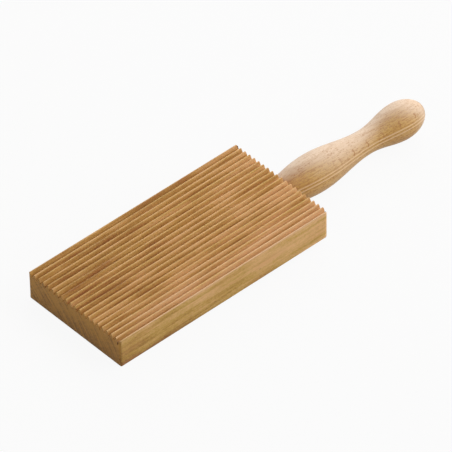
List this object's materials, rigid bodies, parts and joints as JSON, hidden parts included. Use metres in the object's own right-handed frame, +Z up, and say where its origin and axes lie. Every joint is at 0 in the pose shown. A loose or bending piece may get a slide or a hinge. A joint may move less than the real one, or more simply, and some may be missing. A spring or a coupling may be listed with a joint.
{
  "type": "gnocchi board",
  "caption": "Wooden gnocchi board: a rectangular block with parallel V ridges along its top face and a turned handle with a round knob, tenoned and glued into one end.",
  "frame": {"origin": "middle of the board's flat underside", "axes": "+X along the ridges towards the handle, +Y across the ridges, +Z up out of the ridged face"},
  "size_m": [0.2585, 0.075, 0.0243],
  "materials": {
    "board_beech": "planed and grooved beech, oiled, satin",
    "handle_beech": "turned and sanded pale beech, satin"
  },
  "bodies": {
    "root": {"ridged_board": "board_beech", "turned_handle": "handle_beech"}
  },
  "joints": []
}
